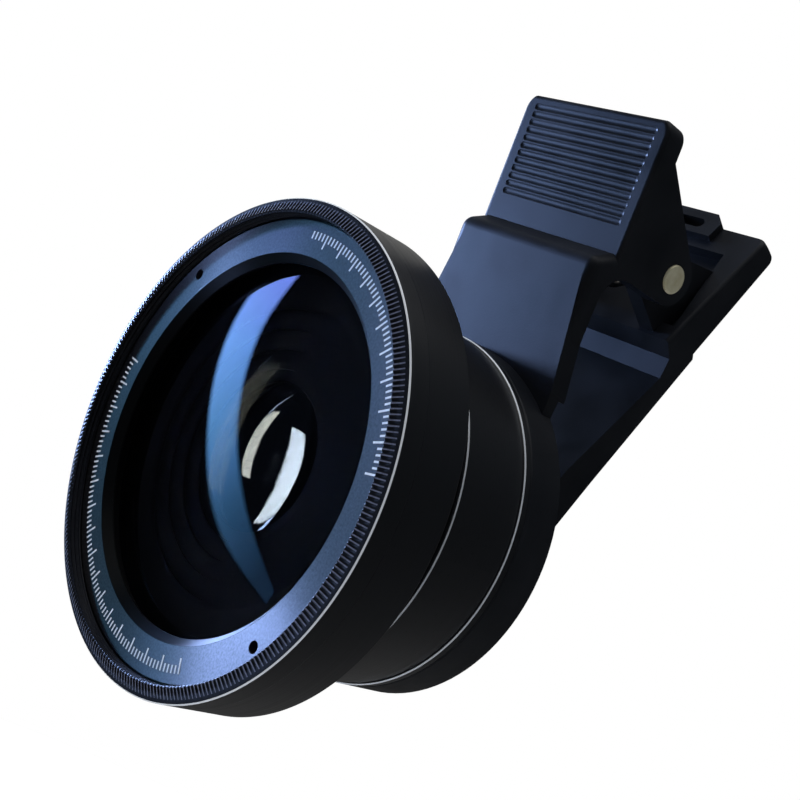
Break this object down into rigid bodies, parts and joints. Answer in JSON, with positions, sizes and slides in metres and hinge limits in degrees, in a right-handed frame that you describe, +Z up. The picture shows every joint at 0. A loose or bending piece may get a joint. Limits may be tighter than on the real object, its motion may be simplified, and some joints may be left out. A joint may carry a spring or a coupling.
{
  "type": "clip-on phone lens",
  "caption": "Wide lens screwed on a macro lens, held in a sprung plastic clip that grips a phone over its camera.",
  "frame": {"origin": "where the lens axis meets the face of the front pad, which seats on the phone's back over its camera", "axes": "+Y along the lens axis into the phone, so the front glass looks along -Y; +Z up to the finger grips; +X along the hinge pin"},
  "size_m": [0.052, 0.0555, 0.0767],
  "materials": {
    "black_anodised": "black anodised, satin, with polished edge lines",
    "ring_satin": "satin blue-black with a fine grain",
    "coated_glass": "clear, with a violet-blue coating",
    "inner_glass": "clear, coated",
    "matt_black": "matt black",
    "clip_plastic": "black moulded plastic with a fine grain",
    "pad_rubber": "soft black",
    "pin_steel": "plain steel with a warm tint",
    "spring_steel": "bright spring wire"
  },
  "bodies": {
    "clip_front": {"front_arm": "clip_plastic", "thread_ring": "black_anodised", "front_pad": "pad_rubber", "hinge_pin": "pin_steel", "torsion_spring": "spring_steel"},
    "clip_rear": {"rear_arm": "clip_plastic", "rear_pad": "pad_rubber"},
    "macro_lens": {"macro_barrel": "black_anodised", "macro_glass": "inner_glass", "macro_lock_ring": "matt_black"},
    "wide_lens": {"wide_barrel": "black_anodised", "name_ring": "ring_satin", "front_glass": "coated_glass", "baffle": "matt_black", "rear_crown_glass": "inner_glass", "rear_flint_glass": "inner_glass", "rear_lock_ring": "matt_black"}
  },
  "joints": [
    {"name": "clip_hinge", "type": "hinge", "parent": "clip_front", "child": "clip_rear", "pos_m": [0, 0.00846, 0.03675], "axis": [1, 0, 0], "range_deg": [0, 30], "stiffness_Nm_per_rad": 0.25, "springref_deg": -45.84, "deforming": ["torsion_spring"]},
    {"name": "macro_unscrew", "type": "slide", "parent": "clip_front", "child": "macro_lens", "axis": [0, -1, 0], "range_m": [0, 0.012]},
    {"name": "wide_unscrew", "type": "slide", "parent": "macro_lens", "child": "wide_lens", "axis": [0, -1, 0], "range_m": [0, 0.012]}
  ]
}
